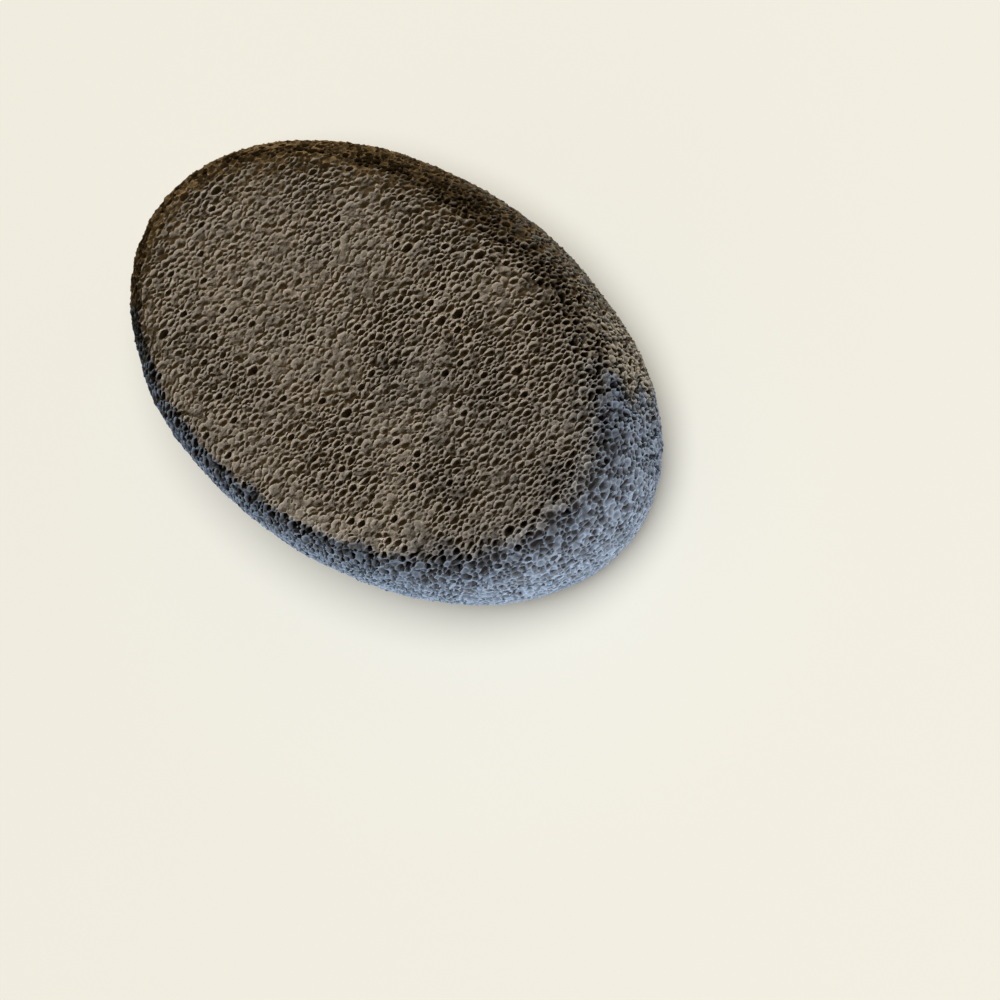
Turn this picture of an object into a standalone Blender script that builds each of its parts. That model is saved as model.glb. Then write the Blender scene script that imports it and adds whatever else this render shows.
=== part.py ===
"""An oval pumice foot stone: one closed block of foamed rock with open pores all over its skin.

Metres, +Z up. The stone lies flat, its length along X and its width along Y, with the origin on the ground
under its middle. A place on the skin is given by two angles: `around`, the direction from the middle seen
from above, and `down`, which runs from 0 at the middle of the top face, over the widest line at a quarter
turn, to a half turn at the middle of the underside.
"""

from collections import defaultdict
from itertools import product

import bpy
import numpy as np
from mathutils import Vector, noise
from mathutils.geometry import delaunay_2d_cdt

# Driving dimensions of the stone.
LENGTH = 0.100
WIDTH = 0.069
HEIGHT = 0.038

# The outline from above is an oval with shallow lobes: how many, how deep (a share of the radius), where.
LOBES = ((3, 0.0013, -1.7), (4, 0.0016, -2.2), (5, 0.0008, -1.7))

# The side is a superellipse: this far in from the widest line, the skin has risen to this share
# of its height.
SHOULDER_WIDTH = 0.0053
SHOULDER_SWING = 0.0018
ROUNDEST_SIDE = 1.65
SHOULDER_RISE = 0.9

# The widest line is at this share of the height, and this much is ground away flat underneath.
WIDEST_AT = 0.49
GROUND_AWAY = 0.0005

# Slow lumps of the skin.
LUMP_SPACING = 0.013
LUMP_HEIGHT = 0.0004

# The gas bubbles were drawn out along one direction in plan while the foam was soft.
DRAWN_ANGLE = 1.24
DRAWN_RATIO = 1.3

# Pores by size: corners of the rim, smallest and largest radius, how many.
PORES = ((8, 0.00065, 0.00090, 60), (6, 0.00042, 0.00065, 440))
PORE_GAP = 0.0003

# A pore's depth as a share of its radius, and how far a rim's corners stray, as a share of their spacing.
PORE_DEPTH = (1.2, 1.8)
RIM_UNEVEN = 0.12

# Pores come in loose clusters of this spacing, with this chance of one on average, and this swing about it.
CLUSTER_SPACING = 0.011
CLUSTER_CHANCE = 0.45
CLUSTER_SWING = 1.1

# No pore opens this near to the middle of the underside, where the stone rests.
REST_SPOT = 0.004

# Plain points of the skin between the pores.
LAND_SPACING = 0.0028

# How a random place on the skin is drawn: the skin's cells around and down, and the tries for each disc.
CELLS_AROUND = 240
CELLS_DOWN = 120
TRIES_PER_PLACE = 30
SEED = 11

# Steps that bring a point onto the skin, the reach that its slope is measured over, and the distance
# at which two points are one.
NEWTON_STEPS = 12
SLOPE_STEP = 0.00001
SAME_POINT = 1e-9

SKIN_COLOUR = (0.120, 0.098, 0.070, 1.0)
SKIN_ROUGHNESS = 0.95
SHARP_ANGLE = 35


def outline_radius(around):
    """Distance from the middle to the widest line."""
    oval = 1 / np.hypot(np.cos(around) / (LENGTH / 2), np.sin(around) / (WIDTH / 2))
    return oval * (1 + sum(depth * np.cos(count * around + turn) for count, depth, turn in LOBES))


def shoulder_power(around):
    """The superellipse's power: a high one is a tight shoulder with a flat face, a low one a round edge."""
    width = SHOULDER_WIDTH + SHOULDER_SWING * np.cos(around - ROUNDEST_SIDE)
    return np.log(1 - SHOULDER_RISE ** 2) / np.log(1 - width / outline_radius(around))


def rise_scale(rise):
    """Height of the stone's upper part or lower part, from its widest line."""
    widest = HEIGHT * WIDEST_AT
    return np.where(rise > 0, HEIGHT - widest, widest + GROUND_AWAY)


def skin_point(around, down):
    """Points of the smooth skin, before its lumps, its pores and the grinding underneath."""
    power = shoulder_power(around)
    out, up = np.sin(down), np.cos(down)
    share = 1 / np.maximum(out, np.abs(up))
    for _ in range(NEWTON_STEPS):
        wide, tall = (share * out) ** power, (share * up) ** 2
        share = share - share * (wide + tall - 1) / (power * wide + 2 * tall)
    reach = share * out * outline_radius(around)
    z = HEIGHT * WIDEST_AT + share * up * rise_scale(up)
    return np.stack((reach * np.cos(around), reach * np.sin(around), z), axis=-1)


def skin_shares(points):
    """Direction of points, and how far out and up they are, as shares of the skin's own reach and rise."""
    around = np.arctan2(points[..., 1], points[..., 0])
    reach = np.hypot(points[..., 0], points[..., 1]) / outline_radius(around)
    height = points[..., 2] - HEIGHT * WIDEST_AT
    return around, reach, height / rise_scale(height)


def onto_skin(points):
    """Points beside the smooth skin, moved onto it to or from the stone's middle."""
    around, reach, rise = skin_shares(points)
    return skin_point(around, np.arctan2(reach, rise))


def skin_level(points):
    """Below 1 inside the smooth skin, 1 on it and above 1 outside."""
    around, reach, rise = skin_shares(points)
    return reach ** shoulder_power(around) + rise ** 2


def skin_normal(points):
    sides = np.eye(3) * SLOPE_STEP
    slope = [skin_level(points + side) - skin_level(points - side) for side in sides]
    normal = np.stack(slope, axis=-1)
    return normal / np.linalg.norm(normal, axis=-1, keepdims=True)


def slow_noise(points, spacing):
    return np.array([noise.noise(Vector(point)) for point in points / spacing])


def squeezed(points):
    """The points with the stone pushed together along the drawn direction, where its pores are round."""
    drawn = np.array((np.cos(DRAWN_ANGLE), np.sin(DRAWN_ANGLE), 0.0))
    return points - (points @ drawn)[..., None] * drawn * (1 - 1 / DRAWN_RATIO)


def random_places(rng, count):
    """Points spread evenly over the skin's area."""
    around = np.linspace(0, 2 * np.pi, CELLS_AROUND + 1)
    down = np.linspace(0, np.pi, CELLS_DOWN + 1)
    grid = skin_point(*np.meshgrid(around, down, indexing="ij"))
    across = grid[1:, 1:] - grid[:-1, :-1]
    other = grid[1:, :-1] - grid[:-1, 1:]
    area = np.linalg.norm(np.cross(across, other), axis=-1).ravel()
    picked = rng.choice(area.size, count, p=area / area.sum())
    part = rng.random((2, count))
    return skin_point(
        (picked // CELLS_DOWN + part[0]) * 2 * np.pi / CELLS_AROUND,
        (picked % CELLS_DOWN + part[1]) * np.pi / CELLS_DOWN,
    )


class Places:
    """Discs laid on the skin. Each is found from every cell of space where no new disc may be centred."""

    def __init__(self, discs, largest, gap):
        self.room = largest + gap
        self.gap = gap
        self.cell = 2 * largest
        self.cells = defaultdict(list)
        for disc in discs:
            self.add(disc)

    def add(self, disc):
        reach = disc[3] + self.room
        spans = (
            range(int((value - reach) // self.cell), int((value + reach) // self.cell) + 1)
            for value in disc[:3]
        )
        for cell in product(*spans):
            self.cells[cell].append(disc)

    def has_room(self, disc):
        x, y, z, radius = disc
        home = (int(x // self.cell), int(y // self.cell), int(z // self.cell))
        for a, b, c, other in self.cells.get(home, ()):
            clear = radius + other + self.gap
            if (x - a) ** 2 + (y - b) ** 2 + (z - c) ** 2 < clear * clear:
                return False
        return True


def scatter(rng, discs, low, high, count, gap, tries, favour):
    """Points and radii of up to `count` discs that fit between those already laid, largest first."""
    points = random_places(rng, count * tries)
    points = points[favour(points) > rng.random(len(points))]
    radii = np.sort(low + (high - low) * rng.random(len(points)) ** 2)[::-1]
    places = Places(discs, high, gap)
    kept = []
    for index, disc in enumerate(np.column_stack((squeezed(points), radii)).tolist()):
        if len(kept) == count:
            break
        if places.has_room(disc):
            places.add(disc)
            discs.append(disc)
            kept.append(index)
    return points[kept], radii[kept]


def clustered(points):
    """Pores come in loose clusters."""
    return CLUSTER_CHANCE + CLUSTER_SWING * slow_noise(points, CLUSTER_SPACING)


def anywhere(points):
    return np.ones(len(points))


def pore_rims(rng, points, radii, corners):
    """Corners of the pores' rims, one ring to a pore, on the smooth skin."""
    normal = skin_normal(points)
    slanting = (0.36, 0.48, 0.80)
    first = np.cross(normal, slanting)
    first /= np.linalg.norm(first, axis=-1, keepdims=True)
    second = np.cross(normal, first)
    turn = rng.random((len(points), 1)) + np.arange(corners)
    turn = (turn + RIM_UNEVEN * (rng.random(turn.shape) - 0.5)) * 2 * np.pi / corners
    side = np.cos(turn)[..., None] * first[:, None] + np.sin(turn)[..., None] * second[:, None]
    reach = radii[:, None] * (1 + RIM_UNEVEN * (rng.random(turn.shape) - 0.5))
    drawn = reach / np.linalg.norm(squeezed(side), axis=-1)
    return onto_skin(points[:, None] + side * drawn[..., None])


def stone_layout():
    """The pores by size, with their middles and radii, and the plain points of the land between them."""
    rng = np.random.default_rng(SEED)
    rest_spot = [0.0, 0.0, -GROUND_AWAY, REST_SPOT]
    discs = [rest_spot]
    sizes = []
    for corners, low, high, number in PORES:
        placed = scatter(rng, discs, low, high, number, PORE_GAP, TRIES_PER_PLACE, clustered)
        sizes.append((corners, *placed))
    discs.remove(rest_spot)
    land = LAND_SPACING / 2
    most = int(LENGTH * WIDTH / land ** 2)
    plain, _ = scatter(rng, discs, land, land, most, 0, TRIES_PER_PLACE, anywhere)
    return sizes, plain


def stone_points():
    """Every point of the stone, how far each is sunk in along the skin's normal, and the rims' edges."""
    sizes, plain = stone_layout()
    rng = np.random.default_rng(SEED + 1)
    points, sunk, edges = [], [], []
    count = 0
    for corners, middles, radii in sizes:
        rims = pore_rims(rng, middles, radii, corners)
        depth = radii * rng.uniform(*PORE_DEPTH, len(radii))
        for middle, rim, deep in zip(middles, rims, depth):
            ring = [count + corner for corner in range(corners)]
            edges += zip(ring, ring[1:] + ring[:1])
            points += [*rim, middle]
            sunk += [0.0] * corners + [deep]
            count += corners + 1
    points += [*plain, (0.0, 0.0, -GROUND_AWAY)]
    sunk += [0.0] * (len(plain) + 1)
    return np.array(points), np.array(sunk), edges


def flat_map(points):
    """The skin laid out in a plane around the top's middle, with the underside's middle at infinity."""
    around, reach, rise = skin_shares(points)
    radius = outline_radius(around)
    walked = reach * radius + HEIGHT / 2 * (1 - np.abs(rise))
    polar = np.pi / 2 * walked / (radius + HEIGHT / 2)
    polar = np.where(rise > 0, polar, np.pi - polar)
    return np.stack((np.cos(around), np.sin(around)), axis=-1) * np.tan(polar / 2)[:, None]


def stone_faces(points, rim_edges):
    """Triangles over all the points, with the last point as the underside's middle."""
    flat = [Vector(point) for point in flat_map(points[:-1]).tolist()]
    result = delaunay_2d_cdt(flat, rim_edges, [], 0, SAME_POINT)
    source = [old[0] for old in result[3]]
    faces = [tuple(source[corner] for corner in face) for face in result[2]]
    sides = {(a, b) for face in faces for a, b in zip(face, face[1:] + face[:1])}
    border = [(a, b) for a, b in sides if (b, a) not in sides]
    return faces + [(b, a, len(points) - 1) for a, b in sorted(border)]


def shaped(points, sunk):
    """The points with the lumps, the pores' depth and the ground underside, at exactly the stone's size."""
    lump = LUMP_HEIGHT * slow_noise(points, LUMP_SPACING)
    final = points + skin_normal(points) * (lump - sunk)[:, None]
    final[:, 2] = np.maximum(final[:, 2], 0)
    low, high = final.min(axis=0), final.max(axis=0)
    centre = np.array((*(low + high)[:2] / 2, 0))
    return (final - centre) * np.array((LENGTH, WIDTH, HEIGHT)) / (high - low)


def skin_material():
    material = bpy.data.materials.new("pumice")
    material.use_nodes = True
    shader = material.node_tree.nodes["Principled BSDF"]
    shader.inputs["Base Color"].default_value = SKIN_COLOUR
    shader.inputs["Roughness"].default_value = SKIN_ROUGHNESS
    shader.inputs["Metallic"].default_value = 0.0
    return material


def pumice_stone():
    points, sunk, rim_edges = stone_points()
    faces = stone_faces(points, rim_edges)
    mesh = bpy.data.meshes.new("pumice_stone")
    mesh.from_pydata(shaped(points, sunk).tolist(), [], faces)
    mesh.materials.append(skin_material())
    mesh.shade_smooth()
    mesh.set_sharp_from_angle(angle=np.radians(SHARP_ANGLE))
    stone = bpy.data.objects.new("pumice_stone", mesh)
    bpy.context.scene.collection.objects.link(stone)
    return stone


for old in list(bpy.data.objects):
    bpy.data.objects.remove(old)
pumice_stone()
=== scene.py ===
"""The looks of an oval pumice foot stone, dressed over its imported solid.

The stone's skin is rebuilt here from the same shape as the solid, with every open pore cut into the mesh:
the larger pores nearly all where the solid has them, and many thousands of finer ones between.
Metres, +Z up.
"""

import math
from collections import defaultdict
from itertools import product

import bpy
import numpy as np
from mathutils import Matrix, Vector, noise
from mathutils.geometry import delaunay_2d_cdt


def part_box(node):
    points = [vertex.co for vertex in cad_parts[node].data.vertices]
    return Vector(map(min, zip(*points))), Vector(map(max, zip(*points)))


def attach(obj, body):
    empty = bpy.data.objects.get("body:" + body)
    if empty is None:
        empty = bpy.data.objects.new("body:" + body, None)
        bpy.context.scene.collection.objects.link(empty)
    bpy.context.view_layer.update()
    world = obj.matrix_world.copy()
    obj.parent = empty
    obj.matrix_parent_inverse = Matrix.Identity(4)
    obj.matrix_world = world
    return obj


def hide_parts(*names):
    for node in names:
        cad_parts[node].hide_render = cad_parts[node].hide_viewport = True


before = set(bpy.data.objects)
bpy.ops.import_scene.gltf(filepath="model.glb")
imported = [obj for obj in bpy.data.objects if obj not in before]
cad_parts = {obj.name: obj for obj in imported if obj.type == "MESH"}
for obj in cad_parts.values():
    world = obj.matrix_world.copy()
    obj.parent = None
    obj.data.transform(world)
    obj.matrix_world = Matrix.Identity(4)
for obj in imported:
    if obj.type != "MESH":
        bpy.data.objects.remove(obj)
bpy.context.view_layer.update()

# The stone's size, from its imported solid, to a tenth of a millimetre.
SIZE_DIGITS = 4
LENGTH, WIDTH, HEIGHT = (
    round(high - low, SIZE_DIGITS) for low, high in zip(*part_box("pumice_stone"))
)

# The outline from above is an oval with shallow lobes: how many, how deep (a share of the radius), where.
LOBES = ((3, 0.0013, -1.7), (4, 0.0016, -2.2), (5, 0.0008, -1.7))

# The side is a superellipse: this far in from the widest line, the skin has risen to this share
# of its height.
SHOULDER_WIDTH = 0.0053
SHOULDER_SWING = 0.0018
ROUNDEST_SIDE = 1.65
SHOULDER_RISE = 0.9

# The widest line is at this share of the height, and this much is ground away flat underneath.
WIDEST_AT = 0.49
GROUND_AWAY = 0.0005

# Slow lumps of the skin, and its finer ripples.
LUMP_SPACING = 0.013
LUMP_HEIGHT = 0.0004
RIPPLE_SPACING = 0.0024
RIPPLE_HEIGHT = 0.00016

# The gas bubbles were drawn out along one direction in plan while the foam was soft. The fine ones were
# drawn out more along it, and upwards too.
DRAWN_ANGLE = 1.24
DRAWN_RATIO = 1.3
FINE_RATIOS = (1.4, 1.6)

# Large pores, where the solid has them but for two on the underside: corners of the rim, smallest and
# largest radius, how many. Then the land between them, their depth as a share of the radius, and how far a
# rim's corners stray, as a share of their spacing.
LARGE_PORES = ((12, 0.00065, 0.00090, 60), (9, 0.00042, 0.00065, 440))
PORE_GAP = 0.0003
PORE_DEPTH = (1.4, 2.4)
RIM_UNEVEN = 0.3

# The ring of points inside each large pore: its share of the rim's radius and of the pore's depth, and how
# hollow it counts for the colour, from 0 at a rim to 1 at the bottom of a large pore.
LEDGE_REACH = 0.66
LEDGE_DEPTH = 0.72
LEDGE_HOLLOW = 0.4

# Fine pits of the foam: smallest and largest radius, how many at most. Then their depth as a share of the
# radius and how hollow their bottoms count, both times how far a pit opens, and how far a shallow one does.
FINE_PITS = ((0.00038, 0.00055, 2500), (0.00028, 0.00038, 8000), (0.00018, 0.00028, 18000))
PIT_DEPTH = (1.0, 2.2)
FINE_HOLLOW = 0.6
SHALLOW = 0.5

# Fine pits share thin walls with their neighbours: the radius that a point counts with where it isn't a
# pit's middle, how uneven the walls' crests are, the share of them that is broken, and how deep.
WALL_RADIUS = 0.00025
WALL_UNEVEN = 0.00010
BROKEN_WALLS = 0.12
BROKEN_DEPTH = 0.00022

# Large pores come in loose clusters of this spacing, with this chance of one on average, and this swing
# about it.
CLUSTER_SPACING = 0.011
CLUSTER_CHANCE = 0.45
CLUSTER_SWING = 1.1

# Fine pits open in patches of this spacing: the share of open ones on average, the swing about it, and how
# much it rises for each metre along X and Y, towards the rougher end. Within limits, that share is also how
# far an open pit opens.
PATCH_SPACING = 0.012
PATCH_SHARE = 0.88
PATCH_SWING = 1.1
ROUGHER_WAY = (12, 8, 0)
OPEN_LIMITS = (0.7, 1.4)

# The sides have no such patches: this share of their fine pits is open, and all of those this far.
SIDE_SHARE = 0.72
SIDE_OPENING = 1.4

# Below this height a fine pit has only this chance. No pore or pit opens this near to the middle of the
# underside, where the stone rests.
UNDERSIDE = 0.003
UNDERSIDE_CHANCE = 0.6
REST_SPOT = 0.002

# Plain points of the land, where the pores leave room for any: their least spacing, how many at most.
LAND_SPACING = 0.0016
LAND_POINTS = 1500

# How a random place on the skin is drawn: the skin's cells around and down, and the tries for each large
# pore and for each finer disc.
CELLS_AROUND = 240
CELLS_DOWN = 120
TRIES_PER_PLACE = 30
FINE_TRIES = 25
SEED = 11

# A direction that is no axis of the stone, from which the corners of a ring are counted.
SLANTING = (0.36, 0.48, 0.80)

# Steps that bring a point onto the skin, the reach that its slope is measured over, and the distance
# at which two points are one.
NEWTON_STEPS = 12
SLOPE_STEP = 0.00001
SAME_POINT = 1e-9

# The upper face is ground down to this height above mid-height, with a slight lean, and the underside up to
# this height above the floor. Both edges are wavy.
FACE_EDGE = 0.0170
FACE_LEAN = (0, 0.03, 1)
UNDERSIDE_EDGE = 0.0008
EDGE_UNEVEN = 0.0007
EDGE_SPACING = 0.0042

# The edge is crisp but for one side of the stone, where the face runs on down the side and fades out: its
# blur at the crisp and at the soft side, how much lower it lies at the soft side, and where that is.
EDGE_BLUR = (0.0006, 0.0045)
EDGE_DROP = 0.0012
SOFT_SIDE = 0.25

# Colours of the ground faces and of the darker sides that were never ground, which turn from grey to brown
# along one direction, between two wavy limits. The turn is partly a stain and partly painted light: the grey
# is tinted cool where the cool lamps fall, the brown warm where the warm one falls.
FACE_COLOUR = (0.170, 0.138, 0.100, 1)
GREY_SIDE_PAINTED_COOL = (0.077, 0.081, 0.086, 1)
BROWN_SIDE_PAINTED_WARM = (0.118, 0.090, 0.058, 1)
BROWN_WAY = (-0.375, 0.927, 0)
BROWN_LIMITS = (-0.001, 0.006)
BROWN_UNEVEN = 0.006

# Painted shade: the sides are darker where they meet the faces, between these distances from mid-height,
# where the light falls off over the shoulder.
PAINTED_SHOULDER_SPAN = (0.0080, 0.0160)
PAINTED_SHOULDER_SHADE = (0.70, 0.70, 0.70, 1)

# Painted shade in the pores: their colour darkens between these values of hollow, for the shade inside them,
# and the sides' pores sooner by this factor. The crests of the walls are paler up to a small value of
# hollow: partly from wear, partly a painted highlight for the lit crests.
PORE_PAINTED_SHADE = (0.010, 0.008, 0.006, 1)
PORE_SHADE_SPAN = (0.18, 1.15)
SIDE_PORE_SHADE_FACTOR = 2.4
WORN_PALENESS_AND_HIGHLIGHT = (1.55, 1.55, 1.55, 1)
WORN_AND_HIGHLIT_HOLLOW = 0.16

# What the material draws, by size: patches, mineral grains and the finest bubbles. The spans are the values
# of the noise that count.
PATCH_SIZE = 0.007
PATCH_SPAN = (0.35, 0.65)
PATCH_TINT = (0.88, 0.90, 0.92, 1)
GRAIN_SIZE = 0.0003
GRAIN_SHADES = (0.90, 1.10)
BUBBLE_SIZE = 0.0006
BUMP_HEIGHT = 0.00010
ROUGHNESS = (0.84, 0.98)
NOISE_SPAN = (0.3, 0.7)
SPECULAR = 0.06

# The bake map's two ovals: the heights of their middles on the map, below and above the widest line, and the
# margin round each.
BAKE_MIDDLES = (0.25, 0.75)
BAKE_MARGIN = 0.012

# The camera looks down on the stone from over its +X end, and sees the stone's middle at this pixel of a
# square frame.
FRAME_PIXELS = 1000
STONE_PIXEL = (393, 371)
TILT_TO_END = 22.5
TILT_TO_SIDE = 1
LONG_AXIS_TURN = -34
CAMERA_DISTANCE = 0.45
CLIP_START = 0.01
SENSOR_MM = 36
LENS_MM = 95.1

# The floor: half its side, and its finish.
FLOOR_HALF = 4
FLOOR_COLOUR = (0.87, 0.84, 0.75, 1)
FLOOR_ROUGHNESS = 0.9
FLOOR_SPECULAR = 0.1

# The light from all round, then the lamps: azimuth from +X, elevation, distance, size, level and colour. The
# bounces stand for light off the ground and what lies on it, so they come from below and only the stone
# shades them.
WORLD_COLOUR = (1.0, 0.79, 0.45, 1)
WORLD_STRENGTH = 0.20
WINDOW = (-19, 20, 1.0, 0.2, 2.2, (0.85, 0.90, 1.00))
BOUNCES = {
    "cool_bounce": (-70, -25, 1.0, 0.5, 3.2, (0.52, 0.73, 1.00)),
    "pale_bounce": (14, -20, 1.0, 0.5, 1.7, (0.58, 0.76, 1.00)),
    "warm_bounce": (155, -12, 1.0, 0.8, 2.3, (1.00, 0.77, 0.46)),
}
FLOOR_LIGHT = (20, 80, 3.0, 2.0, 1.07, (0.87, 0.915, 0.97))


def outline_radius(around):
    """Distance from the middle to the widest line."""
    oval = 1 / np.hypot(np.cos(around) / (LENGTH / 2), np.sin(around) / (WIDTH / 2))
    return oval * (1 + sum(depth * np.cos(count * around + turn) for count, depth, turn in LOBES))


def shoulder_power(around):
    """The superellipse's power: a high one is a tight shoulder with a flat face, a low one a round edge."""
    width = SHOULDER_WIDTH + SHOULDER_SWING * np.cos(around - ROUNDEST_SIDE)
    return math.log(1 - SHOULDER_RISE ** 2) / np.log(1 - width / outline_radius(around))


def rise_scale(rise):
    """Height of the stone's upper part or lower part, from its widest line."""
    widest = HEIGHT * WIDEST_AT
    return np.where(rise > 0, HEIGHT - widest, widest + GROUND_AWAY)


def skin_point(around, down):
    """Points of the smooth skin, before its lumps, its pores and the grinding underneath."""
    power = shoulder_power(around)
    out, up = np.sin(down), np.cos(down)
    share = 1 / np.maximum(out, np.abs(up))
    for _ in range(NEWTON_STEPS):
        wide, tall = (share * out) ** power, (share * up) ** 2
        share = share - share * (wide + tall - 1) / (power * wide + 2 * tall)
    reach = share * out * outline_radius(around)
    z = HEIGHT * WIDEST_AT + share * up * rise_scale(up)
    return np.stack((reach * np.cos(around), reach * np.sin(around), z), axis=-1)


def skin_shares(points):
    """Direction of points, and how far out and up they are, as shares of the skin's own reach and rise."""
    around = np.arctan2(points[..., 1], points[..., 0])
    reach = np.hypot(points[..., 0], points[..., 1]) / outline_radius(around)
    height = points[..., 2] - HEIGHT * WIDEST_AT
    return around, reach, height / rise_scale(height)


def onto_skin(points):
    """Points beside the smooth skin, moved onto it to or from the stone's middle."""
    around, reach, rise = skin_shares(points)
    return skin_point(around, np.arctan2(reach, rise))


def skin_level(points):
    """Below 1 inside the smooth skin, 1 on it and above 1 outside."""
    around, reach, rise = skin_shares(points)
    return reach ** shoulder_power(around) + rise ** 2


def skin_normal(points):
    sides = np.eye(3) * SLOPE_STEP
    slope = [skin_level(points + side) - skin_level(points - side) for side in sides]
    normal = np.stack(slope, axis=-1)
    return normal / np.linalg.norm(normal, axis=-1, keepdims=True)


def slow_noise(points, spacing):
    return np.array([noise.noise(Vector(point)) for point in points / spacing])


def squeezed(points, ratio, rise_ratio=1):
    """The points with the stone pushed together along the drawn direction and down: its pores are round."""
    drawn = np.array((np.cos(DRAWN_ANGLE), np.sin(DRAWN_ANGLE), 0.0))[:points.shape[-1]]
    near = points - (points @ drawn)[..., None] * drawn * (1 - 1 / ratio)
    near[..., 2:] /= rise_ratio
    return near


def random_places(rng, count):
    """Points spread evenly over the skin's area."""
    around = np.linspace(0, 2 * np.pi, CELLS_AROUND + 1)
    down = np.linspace(0, np.pi, CELLS_DOWN + 1)
    grid = skin_point(*np.meshgrid(around, down, indexing="ij"))
    across = grid[1:, 1:] - grid[:-1, :-1]
    other = grid[1:, :-1] - grid[:-1, 1:]
    area = np.linalg.norm(np.cross(across, other), axis=-1).ravel()
    picked = rng.choice(area.size, count, p=area / area.sum())
    part = rng.random((2, count))
    return skin_point(
        (picked // CELLS_DOWN + part[0]) * 2 * np.pi / CELLS_AROUND,
        (picked % CELLS_DOWN + part[1]) * np.pi / CELLS_DOWN,
    )


class Places:
    """Discs laid on the skin. Each is found from every cell of space where no new disc may be centred."""

    def __init__(self, discs, largest, gap):
        self.room = largest + gap
        self.gap = gap
        self.cell = 2 * largest
        self.cells = defaultdict(list)
        for disc in discs:
            self.add(disc)

    def add(self, disc):
        reach = disc[3] + self.room
        spans = (
            range(int((value - reach) // self.cell), int((value + reach) // self.cell) + 1)
            for value in disc[:3]
        )
        for cell in product(*spans):
            self.cells[cell].append(disc)

    def has_room(self, disc):
        x, y, z, radius = disc
        home = (int(x // self.cell), int(y // self.cell), int(z // self.cell))
        for a, b, c, other in self.cells.get(home, ()):
            clear = radius + other + self.gap
            if (x - a) ** 2 + (y - b) ** 2 + (z - c) ** 2 < clear * clear:
                return False
        return True


def squeezed_discs(points, radii, ratios):
    return np.column_stack((squeezed(points, *ratios), radii)).tolist()


def scatter(rng, laid, low, high, count, gap, tries, favour, ratios):
    """Points and radii of up to `count` discs that fit between the groups already laid, largest first."""
    points = random_places(rng, count * tries)
    points = points[favour(points) > rng.random(len(points))]
    radii = np.sort(low + (high - low) * rng.random(len(points)) ** 2)[::-1]
    older = (disc for group in laid for disc in squeezed_discs(*group, ratios))
    places = Places(older, high, gap)
    kept = []
    for index, disc in enumerate(squeezed_discs(points, radii, ratios)):
        if len(kept) == count:
            break
        if places.has_room(disc):
            places.add(disc)
            kept.append(index)
    laid.append((points[kept], radii[kept]))
    return laid[-1]


def clustered(points):
    """The large pores come in loose clusters."""
    return CLUSTER_CHANCE + CLUSTER_SWING * slow_noise(points, CLUSTER_SPACING)


def fewer_below(points):
    """The fine pits are fewer on the ground underside."""
    return np.where(points[:, 2] < UNDERSIDE, UNDERSIDE_CHANCE, 1)


def anywhere(points):
    return np.ones(len(points))


def pore_rings(rng, points, radii, corners, share):
    """Rings of corners round the pores' middles, at a share of their radii, on the smooth skin."""
    normal = skin_normal(points)
    first = np.cross(normal, SLANTING)
    first /= np.linalg.norm(first, axis=-1, keepdims=True)
    second = np.cross(normal, first)
    turn = rng.random((len(points), 1)) + np.arange(corners)
    turn = (turn + RIM_UNEVEN * (rng.random(turn.shape) - 0.5)) * 2 * np.pi / corners
    side = np.cos(turn)[..., None] * first[:, None] + np.sin(turn)[..., None] * second[:, None]
    reach = radii[:, None] * share * (1 + RIM_UNEVEN * (rng.random(turn.shape) - 0.5))
    drawn = reach / np.linalg.norm(squeezed(side, DRAWN_RATIO), axis=-1)
    return onto_skin(points[:, None] + side * drawn[..., None])


def pore_layout():
    """The large pores by size, the fine pits, and the plain points of the land: middles and radii."""
    rng = np.random.default_rng(SEED)
    rest_spot = (np.array([[0.0, 0.0, -GROUND_AWAY]]), np.array([REST_SPOT]))
    laid = [rest_spot]
    corners = [sizes[0] for sizes in LARGE_PORES]
    for _, low, high, number in LARGE_PORES:
        scatter(rng, laid, low, high, number, PORE_GAP, TRIES_PER_PLACE, clustered, (DRAWN_RATIO,))
    for low, high, number in FINE_PITS:
        scatter(rng, laid, low, high, number, 0, FINE_TRIES, fewer_below, FINE_RATIOS)
    del laid[0]
    pores, pits = laid[:len(corners)], laid[len(corners):]
    land = LAND_SPACING / 2
    plain, _ = scatter(rng, laid, land, land, LAND_POINTS, 0, FINE_TRIES, anywhere, FINE_RATIOS)
    return list(zip(corners, *zip(*pores))), [np.concatenate(part) for part in zip(*pits)], plain


class Skin:
    """The points of the stone's mesh: where on the smooth skin, how far sunk in, and how deep in a pore."""

    def __init__(self):
        self.points = []
        self.sunk = []
        self.hollow = []
        self.edges = []
        self.count = 0

    def add(self, points, sunk, hollow):
        points = points.reshape(-1, 3)
        self.points.append(points)
        self.sunk.append(np.broadcast_to(sunk, len(points)))
        self.hollow.append(np.broadcast_to(hollow, len(points)))
        self.count += len(points)

    def add_rings(self, rings, sunk, hollow):
        """Rings of points, whose sides become edges of the mesh."""
        number, corners = rings.shape[:2]
        index = self.count + np.arange(number * corners).reshape(number, corners)
        self.edges.append(np.stack((index, np.roll(index, -1, axis=1)), axis=-1).reshape(-1, 2))
        self.add(rings, np.repeat(sunk, corners) if np.ndim(sunk) else sunk, hollow)

    def whole(self):
        return (np.concatenate(array) for array in (self.points, self.sunk, self.hollow, self.edges))


def wall_points(pits, radii, others, edges):
    """Points of the foam's thin walls, one among each three neighbours of which two or more are pits."""
    points = np.concatenate((others, pits))
    size = np.concatenate((np.full(len(others), WALL_RADIUS), radii))
    faces = np.array(flat_faces(points, edges))
    faces = faces[(faces >= len(others)).sum(axis=1) > 1]
    near = 1 / size[faces][..., None]
    return onto_skin((points[faces] * near).sum(axis=1) / near.sum(axis=1))


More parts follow.
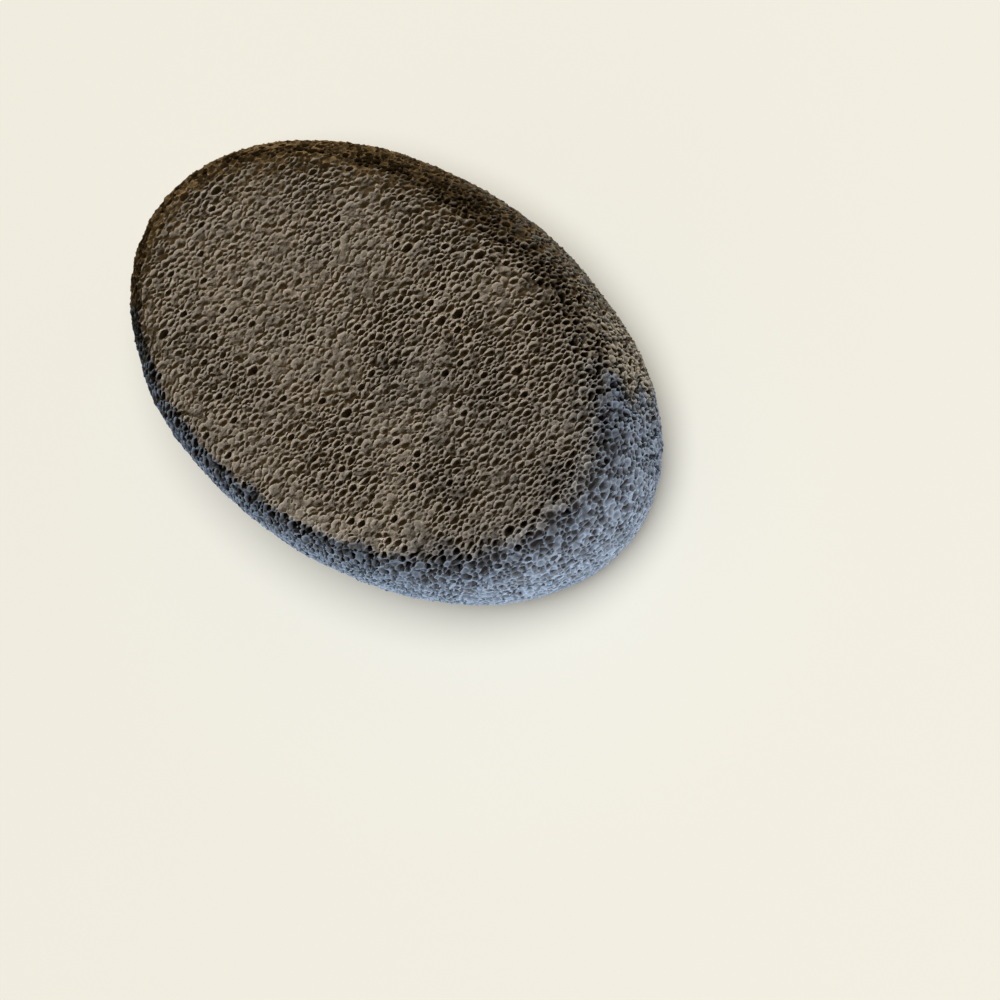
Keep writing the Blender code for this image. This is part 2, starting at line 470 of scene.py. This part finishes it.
def add_walls(skin, rng, pits, radii):
    """The crests of the thin walls, some of them broken away."""
    walls = wall_points(pits, radii, np.concatenate(skin.points), np.concatenate(skin.edges))
    level = WALL_UNEVEN * rng.normal(size=len(walls))
    broken = rng.random(len(walls)) < BROKEN_WALLS
    hollow = np.where(broken, SHALLOW * FINE_HOLLOW, 0.0)
    skin.add(walls, np.where(broken, BROKEN_DEPTH, level), hollow)


def pit_openings(rng, pits):
    """How far each fine pit opens, as a factor on its depth."""
    open_share = PATCH_SHARE + PATCH_SWING * slow_noise(pits, PATCH_SPACING)
    open_share += np.maximum(pits @ ROUGHER_WAY, 0)
    opening = np.clip(open_share, *OPEN_LIMITS)
    on_side = ground_share(pits) < 0.5
    open_share[on_side] = SIDE_SHARE
    opening[on_side] = SIDE_OPENING
    return np.where(rng.random(len(pits)) < open_share, opening, SHALLOW)


def stone_skin():
    """The mesh's points, from the pores' rims to their bottoms, and the rings' edges. The underside's middle
    is the last point."""
    large, (pits, pit_radii), plain = pore_layout()
    rng = np.random.default_rng(SEED + 1)
    skin = Skin()
    for corners, middles, radii in large:
        skin.add_rings(pore_rings(rng, middles, radii, corners, 1), 0.0, 0.0)
    skin.add(plain, 0.0, 0.0)
    add_walls(skin, rng, pits, pit_radii)
    for corners, middles, radii in large:
        depth = radii * rng.uniform(*PORE_DEPTH, len(radii))
        ledges = pore_rings(rng, middles, radii, corners, LEDGE_REACH)
        skin.add_rings(ledges, depth * LEDGE_DEPTH, LEDGE_HOLLOW)
        skin.add(middles, depth, 1.0)
    opening = pit_openings(rng, pits)
    depth = pit_radii * rng.uniform(*PIT_DEPTH, len(pits))
    skin.add(pits, depth * opening, FINE_HOLLOW * opening)
    skin.add(np.array([[0.0, 0.0, -GROUND_AWAY]]), 0.0, 0.0)
    return skin.whole()


def flat_map(points):
    """The squeezed skin laid out in a plane around the top's middle, the underside's middle at infinity."""
    around, reach, rise = skin_shares(points)
    outline = outline_radius(around)[:, None] * np.stack((np.cos(around), np.sin(around)), axis=-1)
    outline = squeezed(outline, FINE_RATIOS[0])
    radius = np.linalg.norm(outline, axis=-1)
    side = HEIGHT / 2 / FINE_RATIOS[1]
    walked = reach * radius + side * (1 - np.abs(rise))
    walked = np.where(rise > 0, walked, (radius + side) ** 2 / walked)
    return outline * (walked / radius)[:, None]


def flat_faces(points, edges):
    """Triangles over the points, laid out flat, that keep the given edges."""
    flat = [Vector(point) for point in flat_map(points).tolist()]
    result = delaunay_2d_cdt(flat, edges.tolist(), [], 0, SAME_POINT)
    source = [old[0] for old in result[3]]
    return [tuple(source[corner] for corner in face) for face in result[2]]


def stone_faces(points, edges):
    """Triangles over all the points, with the last point as the underside's middle."""
    faces = flat_faces(points[:-1], edges)
    sides = {(a, b) for face in faces for a, b in zip(face, face[1:] + face[:1])}
    border = [(a, b) for a, b in sides if (b, a) not in sides]
    return faces + [(b, a, len(points) - 1) for a, b in sorted(border)]


def eased(values, low, high):
    """The values' way from low to high, smoothed, from 0 to 1."""
    share = np.clip((values - low) / (high - low), 0, 1)
    return share * share * (3 - 2 * share)


def ground_share(points):
    """1 on the ground faces and 0 on the sides, with a wavy edge between."""
    wave = EDGE_UNEVEN * slow_noise(points, EDGE_SPACING)
    soft = np.maximum(np.cos(np.arctan2(points[:, 1], points[:, 0]) - SOFT_SIDE), 0) ** 2
    edge = FACE_EDGE - EDGE_DROP * soft + wave
    blur = np.interp(soft, (0, 1), EDGE_BLUR)
    above = eased(points @ FACE_LEAN - HEIGHT / 2, edge, edge + blur)
    below = eased(UNDERSIDE_EDGE + wave - points[:, 2], 0, EDGE_BLUR[0])
    return np.maximum(above, below)


def painted_shoulder_share(points):
    """How far the sides' painted shade reaches: 0 on their middle and 1 where they meet the faces."""
    return eased(np.abs(points[:, 2] - HEIGHT / 2), *PAINTED_SHOULDER_SPAN)


def brown_and_painted_warm_share(points):
    """0 on the grey, painted cool part of the sides and 1 on the brown, painted warm part, partly a stain.
    """
    wave = BROWN_UNEVEN * slow_noise(points, EDGE_SPACING)
    return eased(points @ BROWN_WAY + wave, *BROWN_LIMITS)


def shaped(points, sunk):
    """The points with the lumps, the pores' depth and the ground underside, at exactly the stone's size."""
    lump = LUMP_HEIGHT * slow_noise(points, LUMP_SPACING)
    ripple = RIPPLE_HEIGHT * slow_noise(points, RIPPLE_SPACING)
    final = points + skin_normal(points) * (lump + ripple - sunk)[:, None]
    final[:, 2] = np.maximum(final[:, 2], 0)
    low, high = final.min(axis=0), final.max(axis=0)
    centre = np.array((*(low + high)[:2] / 2, 0))
    return (final - centre) * np.array((LENGTH, WIDTH, HEIGHT)) / (high - low)


def sharpen_crests(mesh, hollow):
    """Every pore and pit keeps a crisp rim, and is smooth inside."""
    ends = np.empty(len(mesh.edges) * 2, np.int64)
    mesh.edges.foreach_get("vertices", ends)
    mesh.edges.foreach_set("use_edge_sharp", (hollow[ends.reshape(-1, 2)] == 0).all(axis=1))


def add_bake_map(mesh, points):
    """A UV map of two ovals, one above the other: the skin below the widest line and the skin above it."""
    corners = np.empty(len(mesh.loops), np.int64)
    mesh.loops.foreach_get("vertex_index", corners)
    around, reach, rise = (values[corners.reshape(-1, 3)] for values in skin_shares(points))
    below = (rise.mean(axis=1) < 0)[:, None]
    down = 1 - np.where(below, -rise, rise)
    scale = (0.5 - 2 * BAKE_MARGIN) / (WIDTH + HEIGHT)
    out = (reach * outline_radius(around) + HEIGHT / 2 * down) * scale
    across = 0.5 + out * np.cos(around) * np.where(below, -1, 1)
    up = np.where(below, *BAKE_MIDDLES) + out * np.sin(around)
    bake_map = mesh.uv_layers.new(name="OFBake")
    bake_map.data.foreach_set("uv", np.stack((across, up), axis=-1).ravel())


def stone_mesh():
    points, sunk, hollow, ring_edges = stone_skin()
    faces = stone_faces(points, ring_edges)
    mesh = bpy.data.meshes.new("pumice_skin")
    mesh.from_pydata(shaped(points, sunk).tolist(), [], faces)
    mesh.shade_smooth()
    sharpen_crests(mesh, hollow)
    shares = {
        "hollow": hollow,
        "ground": ground_share(points),
        "shoulder": painted_shoulder_share(points),
        "brown": brown_and_painted_warm_share(points),
    }
    for name, values in shares.items():
        mesh.attributes.new(name, "FLOAT", "POINT").data.foreach_set("value", values)
    add_bake_map(mesh, points)
    return mesh


class Nodes:
    """A short way to write a node tree: inputs are values or the sockets that feed them."""

    def __init__(self, tree):
        self.tree = tree

    def add(self, kind, inputs, output=0, **settings):
        node = self.tree.nodes.new(kind)
        for name, value in settings.items():
            setattr(node, name, value)
        for name, value in inputs.items():
            if isinstance(value, bpy.types.NodeSocket):
                self.tree.links.new(value, node.inputs[name])
            else:
                node.inputs[name].default_value = value
        return node.outputs[output]

    def math(self, operation, *values):
        return self.add("ShaderNodeMath", dict(enumerate(values)), operation=operation)

    def noise(self, place, size, detail=2.0):
        """Noise whose features are about `size` metres across."""
        return self.add("ShaderNodeTexNoise", {"Vector": place, "Scale": 1 / size, "Detail": detail})

    def at_points(self, name):
        """A value that the mesh holds at its points."""
        return self.add("ShaderNodeAttribute", {}, output="Fac", attribute_name=name)

    def between(self, value, low, high, start=0.0, end=1.0):
        """The value's way from low to high, smoothed, as a number from start to end."""
        limits = {"Value": value, "From Min": low, "From Max": high, "To Min": start, "To Max": end}
        return self.add("ShaderNodeMapRange", limits, interpolation_type="SMOOTHSTEP")

    def mixed(self, share, first, second, blend="MIX"):
        """Two colours mixed, the second by its share. The node's sockets for colours go by number, because
        those for other kinds of value have the same names."""
        inputs = {"Factor": share, 6: first, 7: second}
        return self.add("ShaderNodeMix", inputs, output=2, data_type="RGBA", blend_type=blend)

    def shaded(self, share, colour, shade):
        """The colour, multiplied by the shade as far as the share says."""
        return self.mixed(share, colour, self.mixed(1.0, colour, shade, "MULTIPLY"))


def stone_colour(nodes, place):
    """Taupe ground faces and sides that turn from grey to brown, partly painted cool and warm light,
    mottled, with painted shade in the pores and on the shoulders, and crests paler from wear and a painted
    highlight.
    """
    hollow = nodes.at_points("hollow")
    ground = nodes.at_points("ground")
    # Grey turning to brown: partly a stain, partly painted cool and warm light.
    side = nodes.mixed(nodes.at_points("brown"), GREY_SIDE_PAINTED_COOL, BROWN_SIDE_PAINTED_WARM)
    # Painted shade on the shoulders, where the sides meet the faces.
    side = nodes.shaded(nodes.at_points("shoulder"), side, PAINTED_SHOULDER_SHADE)
    skin = nodes.mixed(ground, side, FACE_COLOUR)
    patches = nodes.between(nodes.noise(place, PATCH_SIZE, detail=3.0), *PATCH_SPAN)
    skin = nodes.shaded(patches, skin, PATCH_TINT)
    grains = nodes.between(nodes.noise(place, GRAIN_SIZE), *NOISE_SPAN, *GRAIN_SHADES)
    skin = nodes.mixed(1.0, skin, grains, "MULTIPLY")
    # Partly a painted highlight, partly wear: the crests of the walls are paler.
    worn_and_highlit = nodes.between(hollow, 0.0, WORN_AND_HIGHLIT_HOLLOW, start=1.0, end=0.0)
    skin = nodes.shaded(worn_and_highlit, skin, WORN_PALENESS_AND_HIGHLIGHT)
    # Painted shade: the pores darken with their depth, sooner on the sides.
    pore_shade_factor = nodes.between(ground, 0.0, 1.0, start=SIDE_PORE_SHADE_FACTOR, end=1.0)
    depth = nodes.math("MULTIPLY", hollow, pore_shade_factor)
    return nodes.mixed(nodes.between(depth, *PORE_SHADE_SPAN), skin, PORE_PAINTED_SHADE)


def pumice_material():
    material = bpy.data.materials.new("pumice")
    material.use_nodes = True
    shader = material.node_tree.nodes["Principled BSDF"]
    nodes = Nodes(material.node_tree)
    place = nodes.add("ShaderNodeTexCoord", {}, output="Object")
    roughness = nodes.between(nodes.noise(place, PATCH_SIZE), *NOISE_SPAN, *ROUGHNESS)
    bubbles = nodes.add("ShaderNodeTexVoronoi", {"Vector": place, "Scale": 1 / BUBBLE_SIZE})
    relief = nodes.math("ADD", bubbles, nodes.noise(place, GRAIN_SIZE, detail=3.0))
    bump = nodes.add("ShaderNodeBump", {"Height": relief, "Strength": 1.0, "Distance": BUMP_HEIGHT})
    shader.inputs["Specular IOR Level"].default_value = SPECULAR
    for name, socket in (
        ("Base Color", stone_colour(nodes, place)),
        ("Roughness", roughness),
        ("Normal", bump),
    ):
        nodes.tree.links.new(socket, shader.inputs[name])
    return material


def pumice_stone():
    stone = bpy.data.objects.new("stone", stone_mesh())
    stone.data.materials.append(pumice_material())
    bpy.context.scene.collection.objects.link(stone)
    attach(stone, "root")
    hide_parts("pumice_stone")
    return stone


def photo_camera():
    """A camera at the photograph's viewing angle."""
    back = Vector((math.sin(math.radians(TILT_TO_END)), math.sin(math.radians(TILT_TO_SIDE)), 0))
    back.z = math.sqrt(1 - back.length_squared)
    along = (Vector((1, 0, 0)) - back.x * back).normalized()
    across = back.cross(along)
    turn = math.radians(LONG_AXIS_TURN)
    right = math.cos(turn) * along - math.sin(turn) * across
    up = back.cross(right)
    level = Matrix((right, up, back)).transposed()
    pixel_mm = SENSOR_MM / FRAME_PIXELS
    offset = Vector((STONE_PIXEL[0] - FRAME_PIXELS / 2, FRAME_PIXELS / 2 - STONE_PIXEL[1])) * pixel_mm
    aim = Vector((*offset, -LENS_MM)).rotation_difference(Vector((0, 0, -1))).to_matrix()
    camera = bpy.data.objects.new("photo_camera", bpy.data.cameras.new("photo_camera"))
    camera.data.sensor_width = SENSOR_MM
    camera.data.lens = LENS_MM
    camera.data.clip_start = CLIP_START
    camera.matrix_world = (level @ aim).to_4x4()
    camera.location = Vector((0, 0, HEIGHT / 2)) + back * CAMERA_DISTANCE
    bpy.context.scene.collection.objects.link(camera)
    bpy.context.scene.camera = camera


def floor_material():
    material = bpy.data.materials.new("floor")
    material.use_nodes = True
    shader = material.node_tree.nodes["Principled BSDF"]
    shader.inputs["Base Color"].default_value = FLOOR_COLOUR
    shader.inputs["Roughness"].default_value = FLOOR_ROUGHNESS
    shader.inputs["Specular IOR Level"].default_value = FLOOR_SPECULAR
    return material


def floor():
    """A plain pale floor, which throws no light back onto the stone."""
    ways = ((-1, -1), (1, -1), (1, 1), (-1, 1))
    mesh = bpy.data.meshes.new("floor")
    mesh.from_pydata([(x * FLOOR_HALF, y * FLOOR_HALF, 0) for x, y in ways], [], [(0, 1, 2, 3)])
    mesh.materials.append(floor_material())
    plane = bpy.data.objects.new("floor", mesh)
    bpy.context.scene.collection.objects.link(plane)
    plane.visible_diffuse = False
    return plane


def area_light(name, azimuth, elevation, distance, size, level, colour, lit, blocker=None):
    """A soft light aimed at the stone, seen from it at an azimuth from +X and an elevation. Its level is how
    bright a white surface facing it looks. It lights one group, and a blocker, if given, alone shades it."""
    data = bpy.data.lights.new(name, "AREA")
    data.shape = "DISK"
    data.size = size
    data.energy = level * math.pi ** 2 * distance ** 2
    data.color = colour
    light = bpy.data.objects.new(name, data)
    turn, rise = math.radians(azimuth), math.radians(elevation)
    side = Vector((math.cos(rise) * math.cos(turn), math.cos(rise) * math.sin(turn), math.sin(rise)))
    light.location = Vector((0, 0, HEIGHT / 2)) + side * distance
    light.rotation_euler = side.to_track_quat("Z", "Y").to_euler()
    light.light_linking.receiver_collection = lit
    light.light_linking.blocker_collection = blocker
    bpy.context.scene.collection.objects.link(light)


def lit_group(lit):
    """A group of one object, to be lit alone or to block light alone."""
    group = bpy.data.collections.new(lit.name + "_lit")
    group.objects.link(lit)
    return group


def studio(stone, plane):
    world = bpy.data.worlds.new("studio")
    world.use_nodes = True
    background = world.node_tree.nodes["Background"]
    background.inputs["Color"].default_value = WORLD_COLOUR
    background.inputs["Strength"].default_value = WORLD_STRENGTH
    bpy.context.scene.world = world
    bpy.context.scene.view_settings.view_transform = "Standard"
    stone_group, floor_group = lit_group(stone), lit_group(plane)
    area_light("window", *WINDOW, stone_group)
    for name, settings in BOUNCES.items():
        area_light(name, *settings, stone_group, stone_group)
    area_light("floor_light", *FLOOR_LIGHT, floor_group)


photo_camera()
studio(pumice_stone(), floor())
